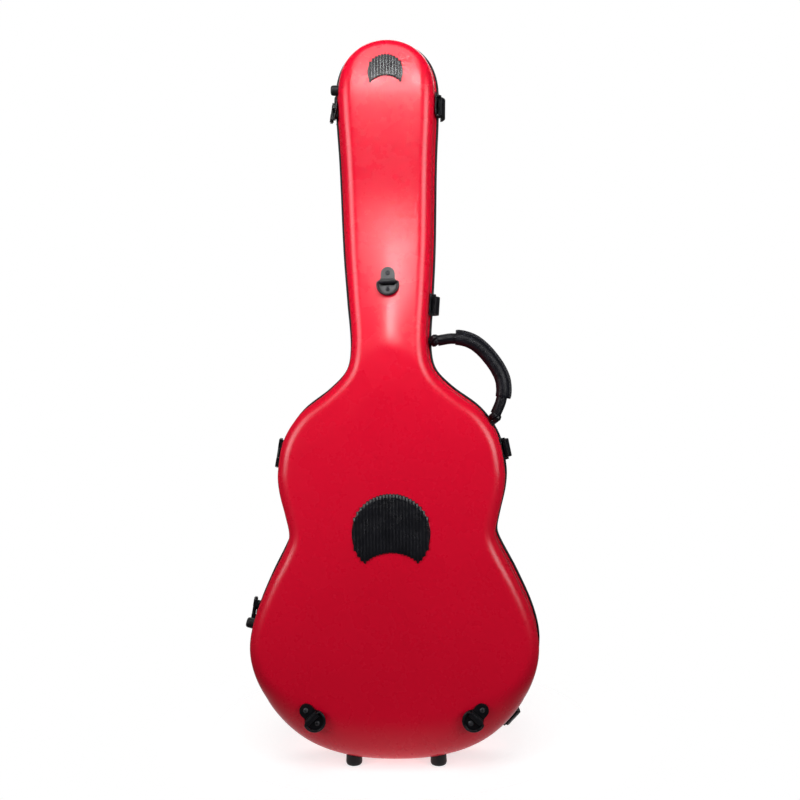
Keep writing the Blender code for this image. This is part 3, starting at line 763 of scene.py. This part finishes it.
# Along the thread: how far from the stitch's middle, in half stitches, and how thick.
STITCH = ((-1.0, 0.3), (-0.75, 0.8), (-0.35, 1), (0.0, 1), (0.35, 1), (0.75, 0.8), (1.0, 0.3))
STITCH_PITCH, HALF_STITCH, THREAD_RADIUS, STITCH_LINE = 3.4, 1.25, 0.42, 11.7
widths = [w * THREAD_RADIUS * MM for _, w in STITCH]
stitches = []
for spot, along in along_line(grip_line, STITCH_PITCH):
    up = Vector((-along.y, along.x, 0))
    for side in (-1, 1):
        row = []
        for t, _ in STITCH:
            rise = Vector((0, 0, side * (1.62 - 0.5 * t**2)))
            row.append(handle @ ((spot + along * HALF_STITCH * t + up * STITCH_LINE + rise) * MM))
        stitches.append(swept(row, widths, 8, up))
piece("handle_stitching", mesh_of("stitches", *gather(stitches)), THREAD, "handle")


# ---------------------------------------------------------------- strap anchors
RING_R = 12.6
RING_WIRE = 1.6
RING_DROP = 4.2  # from the pivot to the middle of the ring's round part
PIVOT_AT = (0, 2, 4.4)  # on the plate
SCREW_PLACES = (14, -7)
CROSS_WIDE, CROSS_LONG = 0.42, 1.9
HEAD_RADII = [0, 0.25, 0.5, 0.8, 1.1, 1.4, 1.7, 1.95, 2.2, 2.5, 2.8, 3.0, 3.1]
HEAD_RIM = HEAD_RADII[-1]
HEAD_TOP, HEAD_DOME, HEAD_FOOT = 4.1, 1.1, 1.9


def screw_head(matrix):
    """A low domed head with a cross recess, from rings whose middle is pushed in along a cross."""
    points, faces = [], []
    sides = 48
    rings = []
    for radius in HEAD_RADII:
        ring = []
        for k in range(1 if radius == 0 else sides):
            angle = 2 * math.pi * k / sides
            x, y = radius * math.cos(angle), radius * math.sin(angle)
            height = HEAD_TOP - HEAD_DOME * (radius / HEAD_RIM) ** 2.4
            across = min(abs(x), abs(y))
            along = max(abs(x), abs(y))
            if across < CROSS_WIDE and along < CROSS_LONG:
                height -= 1.2 * min(1.0, (CROSS_WIDE - across) / 0.15, (CROSS_LONG - along) / 0.2)
            points.append(matrix @ (Vector((x, y, height)) * MM))
            ring.append(len(points) - 1)
        rings.append(ring)
    skirt = []
    for k in range(sides):
        angle = 2 * math.pi * k / sides
        x, y = HEAD_RIM * math.cos(angle), HEAD_RIM * math.sin(angle)
        points.append(matrix @ (Vector((x, y, HEAD_FOOT)) * MM))
        skirt.append(len(points) - 1)
    rings.append(skirt)
    for low, high in zip(rings, rings[1:]):
        for k in range(sides):
            m = (k + 1) % sides
            if len(low) == 1:
                faces.append((low[0], high[k], high[m]))
            else:
                faces.append((low[k], high[k], high[m], low[m]))
    faces.append(tuple(skirt[::-1]))
    return points, faces


PIVOTS = {joint["name"]: Vector(joint["pos_m"]) for joint in frame["joints"]}
for key, x, z, turn in STRAPS:
    local = on_back(x * MM, z * MM, math.radians(turn)) @ Matrix.Scale(STRAP_SCALE, 4)
    # The joint is where the ring turns, so the plate's frame is moved to meet it.
    off = PIVOTS[f"strap_ring_{key}_pivot"] - (local @ shift(*PIVOT_AT)).translation
    local = Matrix.Translation(off) @ local
    for index, y in enumerate(SCREW_PLACES, 1):
        name = f"strap_{key}_screw_{index}"
        place = local @ shift(0, y, 0) @ Matrix.Rotation(0.6 * index, 4, "Z")
        head = mesh_of("head", *screw_head(place))
        piece(name + "_head", head, DARK_STEEL, "base", [name], angle=40)
    bar = local @ shift(*PIVOT_AT)
    arc = [math.pi * (1 + k / 28) for k in range(29)]
    loop = [Vector((RING_R * math.cos(a), RING_R * math.sin(a) - RING_DROP, 0)) for a in arc]
    corner = RING_R - 2.0
    top = [(RING_R, -3.4), (RING_R - 0.25, -1.2), (corner, 0), (corner * 0.5, 0), (0, 0)]
    loop += [Vector((px, py, 0)) for px, py in top]
    loop += [Vector((-px, py, 0)) for px, py in top[-2::-1]]
    wire = [bar @ (p * MM) for p in loop]
    name = f"strap_{key}_ring"
    out = bar.to_3x3() @ Vector((0, 0, 1))
    ring = mesh_of("ring", *swept(wire, RING_WIRE * STRAP_SCALE * MM, 16, out, True))
    piece(name + "_wire", ring, METAL, "ring_" + key, [name])


# ---------------------------------------------------------------- ribbed wear pads
def pad(name, centre, radius, bite, bite_drop, pitch, columns):
    """A disc with a bite out of its lower side, following the shell, under upright round ribs."""
    _, z0 = centre

    def spot(x, y, height):
        x, z = x * MM, (z0 + y) * MM
        return Vector((x, SEAM - depth_at(x, z, -1) - height * MM, z + LIFT))

    # The plate: rows from the bite or lower edge to the upper edge, with a rounded rim.
    points, faces = [], []

    def span(x, inset):
        r = radius - inset
        if abs(x) >= r:
            return None
        high = math.sqrt(r * r - x * x)
        low = -high
        if abs(x) < bite + inset:
            low = max(low, math.sqrt((bite + inset) ** 2 - x * x) - bite_drop)
        return (low, high) if high - low > 0.4 else None

    outer = [-radius + 0.15 + (2 * radius - 0.3) * k / columns for k in range(columns + 1)]
    rows = 14
    grids = []
    for inset, height in ((0.6, -0.3), (0.6, 0.4), (0.8, 0.75), (1.2, 0.9)):
        grid = []
        for x in outer:
            x_in = x * (radius - inset) / radius
            low, high = span(x_in, inset) or (0, 0)
            grid.append([(x_in, low), (x_in, high), height])
        grids.append(grid)
    top = grids[-1]
    top_index = []
    for (x, low), (_, high), height in top:
        column = []
        for row in range(rows + 1):
            points.append(spot(x, low + (high - low) * row / rows, height))
            column.append(len(points) - 1)
        top_index.append(column)
    for a, b in zip(top_index, top_index[1:]):
        faces += [(a[r], a[r + 1], b[r + 1], b[r]) for r in range(rows)]
    bottom_row = [column[0] for column in top_index]
    top_row = [column[-1] for column in top_index[-2::-1]]
    loops = [bottom_row + top_index[-1][1:] + top_row + top_index[0][-2:0:-1]]
    for grid in grids[-2::-1]:
        loop = []
        for (x, low), _, height in grid:
            points.append(spot(x, low, height))
            loop.append(len(points) - 1)
        (x, low), (_, high), height = grid[-1]
        for row in range(1, rows):
            points.append(spot(x, low + (high - low) * row / rows, height))
            loop.append(len(points) - 1)
        for (x, _), (_, high), height in grid[::-1]:
            points.append(spot(x, high, height))
            loop.append(len(points) - 1)
        (x, low), (_, high), height = grid[0]
        for row in range(rows - 1, 0, -1):
            points.append(spot(x, low + (high - low) * row / rows, height))
            loop.append(len(points) - 1)
        loops.append(loop)
    for a, b in zip(loops, loops[1:]):
        size = len(a)
        faces += [(a[k], a[(k + 1) % size], b[(k + 1) % size], b[k]) for k in range(size)]
    plate = (points, faces)

    ribs = []
    count = int((radius - 3) / pitch)
    for k in range(-count, count + 1):
        x = k * pitch
        ends = span(x, -0.5)
        if not ends or ends[1] - ends[0] < 4:
            continue
        low, high = ends
        steps = max(4, int((high - low) / 6))
        rib_points, rib_faces = [], []
        stations = [low, low + 0.5, low + 1.3] + [
            low + 1.3 + (high - low - 2.6) * s / steps for s in range(1, steps)
        ] + [high - 1.3, high - 0.5, high]
        half = [-1, -0.92, -0.7, -0.36, 0, 0.36, 0.7, 0.92, 1]
        for index, y in enumerate(stations):
            edge = min(index, len(stations) - 1 - index)
            tall = (0.35, 0.8, 1.0)[min(edge, 2)]
            wide = 0.36 * pitch * (0.55, 0.88, 1.0)[min(edge, 2)]
            for t in half:
                rib_points.append(spot(x + wide * t, y, 0.2 + 2.3 * tall * math.sqrt(1 - t * t)))
        size = len(half)
        for row in range(len(stations) - 1):
            for m in range(size - 1):
                at = row * size + m
                rib_faces.append((at, at + size, at + size + 1, at + 1))
        ribs.append((rib_points, rib_faces))
    made = mesh_of(name + "_rubber", *gather([plate, *ribs]))
    piece(name + "_rubber", made, RUBBER, "base", [name], angle=50)


pad("wear_pad_body", (0, 337), 56.5, 57, 84, 4.7, 64)
pad("wear_pad_head", (0, 1004), 26.5, 30.4, 35.9, 4.4, 40)


# ---------------------------------------------------------------- inside: the neck cradle
half_cradle = [
    (26, -36.8), (30, -36.2), (38, -32.6), (42.2, -29.6), (45.6, -23.4), (46.8, -18), (47.2, -13.5),
    (46.2, -11.2), (43, -10.2), (37, -9.9), (32.6, -10.6), (29.8, -12.8), (27.6, -17), (25, -20.6),
    (20, -22.4),
]
cradle = half_cradle + [(-x, y) for x, y in half_cradle[::-1]]
CRADLE_MIDDLE = -24  # the depth its ends are drawn in towards
SLICES = [  # height and size, drawn in at both ends
    (880.4, 0.94), (881.6, 0.985), (884, 1.0), (892, 1.0), (904, 1.0), (916, 1.0), (924, 1.0),
    (926.4, 0.985), (927.6, 0.94),
]
points = []
for z, grow in SLICES:
    for x, y in cradle:
        deep = SEAM + (CRADLE_MIDDLE + (y - CRADLE_MIDDLE) * grow) * MM
        points.append(Vector((x * grow * MM, deep, z * MM + LIFT)))
cradle_mesh = mesh_of("cradle", points, capped_faces(len(SLICES), len(cradle)))
soft = piece("neck_cradle_plush", cradle_mesh, PLUSH, "base", ["neck_cradle"], angle=60)


# ---------------------------------------------------------------- accessory box and its lid
BOX_HEIGHT = 680
BOX_HALF_X = 32
BOX_CORNER = 5.0
SIDE_STEPS = 11  # along each straight side of a rounded rectangle


def soft_plate(half_z, rows):
    """Rounded rectangles, one for each (height, inset) row, closed at both ends."""
    points = []
    for height, inset in rows:
        a, b = BOX_HALF_X - inset, half_z - inset
        r = max(0.6, min(BOX_CORNER - inset, a * 0.9))
        ring = []
        centres = ((a - r, b - r), (r - a, b - r), (r - a, r - b), (a - r, r - b))
        for turn, (cx, cz) in enumerate(centres):
            for k in range(7):
                angle = math.pi / 2 * (turn + k / 6)
                ring.append((cx + r * math.cos(angle), cz + r * math.sin(angle)))
            nx, nz = ((r - a, b), (-a, r - b), (a - r, -b), (a, b - r))[turn]
            px, pz = ring[-1]
            for k in range(1, SIDE_STEPS):
                ring.append((px + (nx - px) * k / SIDE_STEPS, pz + (nz - pz) * k / SIDE_STEPS))
        for x, z in ring:
            wave = 0.10 * math.sin(x * 0.9 + z * 0.31) * math.sin(z * 0.42 - x * 0.2)
            up = (z + BOX_HEIGHT) * MM + LIFT
            points.append(Vector((x * MM, SEAM + (height + wave) * MM, up)))
    return points, capped_faces(len(rows), len(points) // len(rows))


WELL = [
    (-39.3, 27.0), (-39.4, 12.0), (-39.4, 3.0), (-38.9, 1.2), (-37.8, 0.4), (-36, 0.1), (-30, 0.0),
    (-23, 0.1), (-21.4, 0.3), (-20.5, 0.8), (-20.2, 1.3), (-20.5, 1.9), (-21.4, 2.4), (-23, 2.6),
    (-30, 2.5), (-35.4, 2.7), (-36.6, 3.3), (-37.1, 4.6), (-37.2, 9.0), (-37.0, 16.0),
    (-36.9, 26.0),
]
well_mesh = mesh_of("well", *soft_plate(62, WELL))
well = piece(
    "accessory_box_plush", well_mesh, PLUSH_BOX, "base", ["accessory_box"], angle=70
)
CUSHION = [
    (-19.3, 27.0), (-19.3, 12.0), (-19.3, 2.4), (-19.1, 1.0), (-18.6, 0.35), (-18.1, 0.1),
    (-17.6, 0.35), (-17.2, 1.0), (-16.95, 2.2), (-16.9, 3.4), (-17.1, 4.3), (-16.8, 5.2),
    (-16.6, 8.0), (-16.4, 14.0), (-16.3, 22.0), (-16.25, 27.5),
]
cushion_mesh = mesh_of("cushion", *soft_plate(61, CUSHION))
cushion = piece(
    "accessory_lid_plush", cushion_mesh, PLUSH_BOX, "accessory_lid", ["accessory_lid"],
    angle=70,
)

# A ribbon sewn into the lid's free edge to pull it up by: half a turn of flat tape.
TAB_X, TAB_REACH = 25.5, 8.2
TAB_DEPTH, TAB_HALF_GAP = -15.9, 0.9
HALF_TAPE, HALF_THICK = 6, 0.22
TAB_STEPS = 24
TAPE_CORNERS = (
    (-HALF_TAPE, -HALF_THICK), (HALF_TAPE, -HALF_THICK), (HALF_TAPE, HALF_THICK),
    (-HALF_TAPE, HALF_THICK),
)
ribbon_points = []
for t in range(TAB_STEPS + 1):
    angle = math.pi * t / TAB_STEPS
    deep = SEAM + (TAB_DEPTH + TAB_HALF_GAP * math.cos(angle)) * MM
    spot = Vector(((TAB_X + TAB_REACH * math.sin(angle)) * MM, deep, BOX_HEIGHT * MM + LIFT))
    for dz, dy in TAPE_CORNERS:
        ribbon_points.append(spot + Vector((0, dy, dz)) * MM)
ribbon = mesh_of("ribbon", ribbon_points, capped_faces(TAB_STEPS + 1, len(TAPE_CORNERS)))
piece("accessory_ribbon", ribbon, THREAD, "accessory_lid", angle=40)


# ---------------------------------------------------------------- floor, light and camera
def area(name, place, aim, wide, tall, power, spread=180):
    """A rectangular lamp aimed at a point, its spread in degrees."""
    data = bpy.data.lights.new(name, "AREA")
    data.shape = "RECTANGLE"
    data.size, data.size_y = wide, tall
    data.energy = power
    data.spread = math.radians(spread)
    lamp = bpy.data.objects.new(name, data)
    bpy.context.scene.collection.objects.link(lamp)
    lamp.location = place
    lamp.rotation_euler = (Vector(aim) - Vector(place)).to_track_quat("-Z", "Y").to_euler()


def pale_floor():
    """Matt white paper, fading out to the white surround away from the case."""
    m = Nodes("pale_floor")
    shade = m.ramp(m.noise(3, 2), [(0.2, (0.87, 0.87, 0.87)), (0.8, (0.89, 0.89, 0.89))])
    m.link(shade, m.shader.inputs["Base Color"])
    m.set(Roughness=0.9, Specular_IOR_Level=0.1)
    m.shader.inputs["Emission Color"].default_value = (1, 1, 1, 1)
    m.shader.inputs["Emission Strength"].default_value = 0.58
    centre = m.node("ShaderNodeMapping")
    centre.inputs["Location"].default_value = (0, -0.16, 0)
    m.link(m.coords(), centre.inputs["Vector"])
    reach = m.node("ShaderNodeVectorMath", operation="LENGTH")
    m.link(centre.outputs["Vector"], reach.inputs[0])
    fade = m.node("ShaderNodeMapRange", interpolation_type="SMOOTHSTEP")
    fade.inputs["From Min"].default_value = 0.10
    fade.inputs["From Max"].default_value = 0.42
    fade.inputs["To Min"].default_value = 1.0
    fade.inputs["To Max"].default_value = 0.0
    m.link(reach.outputs["Value"], fade.inputs["Value"])
    m.link(fade.outputs["Result"], m.shader.inputs["Alpha"])
    return m.material


corners = [Vector(p) for p in ((-2, -2, 0), (2, -2, 0), (2, 2, 0), (-2, 2, 0))]
floor_mesh = mesh_of("floor", corners, [(0, 1, 2, 3)])
floor_mesh.materials.append(pale_floor())
floor = bpy.data.objects.new("floor", floor_mesh)
floor.location.z = -0.4 * MM
bpy.context.scene.collection.objects.link(floor)

area("key_softbox", (0.0, -1.30, 1.38), (0, 0, 0.665), 0.46, 0.18, 0.135, 17)
area("head_softbox", (0.0, -1.30, 1.58), (0, 0, 1.06), 0.42, 0.12, 0.115, 15)
area("top_softbox", (0.0, -1.05, 2.15), (0, 0, 0.60), 1.2, 0.8, 13)
area("left_strip", (-1.25, -1.05, 1.05), (0, 0, 0.80), 1.0, 1.2, 4.2, 70)
area("right_strip", (1.25, -1.05, 1.05), (0, 0, 0.80), 1.0, 1.2, 4.2, 70)
area("back_softbox", (0.0, 1.9, 2.3), (0, 0, 0.55), 2.0, 1.2, 22)

world = bpy.data.worlds.new("studio")
bpy.context.scene.world = world
world.use_nodes = True
nodes = world.node_tree.nodes
links = world.node_tree.links
background = nodes["Background"]
background.inputs["Color"].default_value = (0.5, 0.5, 0.5, 1)
background.inputs["Strength"].default_value = 0.12
white = nodes.new("ShaderNodeBackground")
white.inputs["Color"].default_value = (1, 1, 1, 1)
white.inputs["Strength"].default_value = 1.0
paths = nodes.new("ShaderNodeLightPath")
choose = nodes.new("ShaderNodeMixShader")
links.new(paths.outputs["Is Camera Ray"], choose.inputs["Fac"])
links.new(background.outputs["Background"], choose.inputs[1])
links.new(white.outputs["Background"], choose.inputs[2])
links.new(choose.outputs["Shader"], nodes["World Output"].inputs["Surface"])
bpy.context.scene.view_settings.view_transform = "Standard"

CAMERA_AWAY = 1.38
CAMERA_TURN = math.radians(2.5)
CAMERA_ROLL = math.radians(-0.9)
aim = Vector((0.012, SEAM, 0.534))
data = bpy.data.cameras.new("camera")
data.sensor_width = 36
data.lens = 41.2
camera = bpy.data.objects.new("camera", data)
bpy.context.scene.collection.objects.link(camera)
back = Vector((math.sin(CAMERA_TURN), -math.cos(CAMERA_TURN), 0))
camera.location = aim + back * CAMERA_AWAY
look = (-back).to_track_quat("-Z", "Y").to_matrix().to_4x4()
camera.rotation_euler = (look @ Matrix.Rotation(CAMERA_ROLL, 4, "Z")).to_euler()
bpy.context.scene.camera = camera
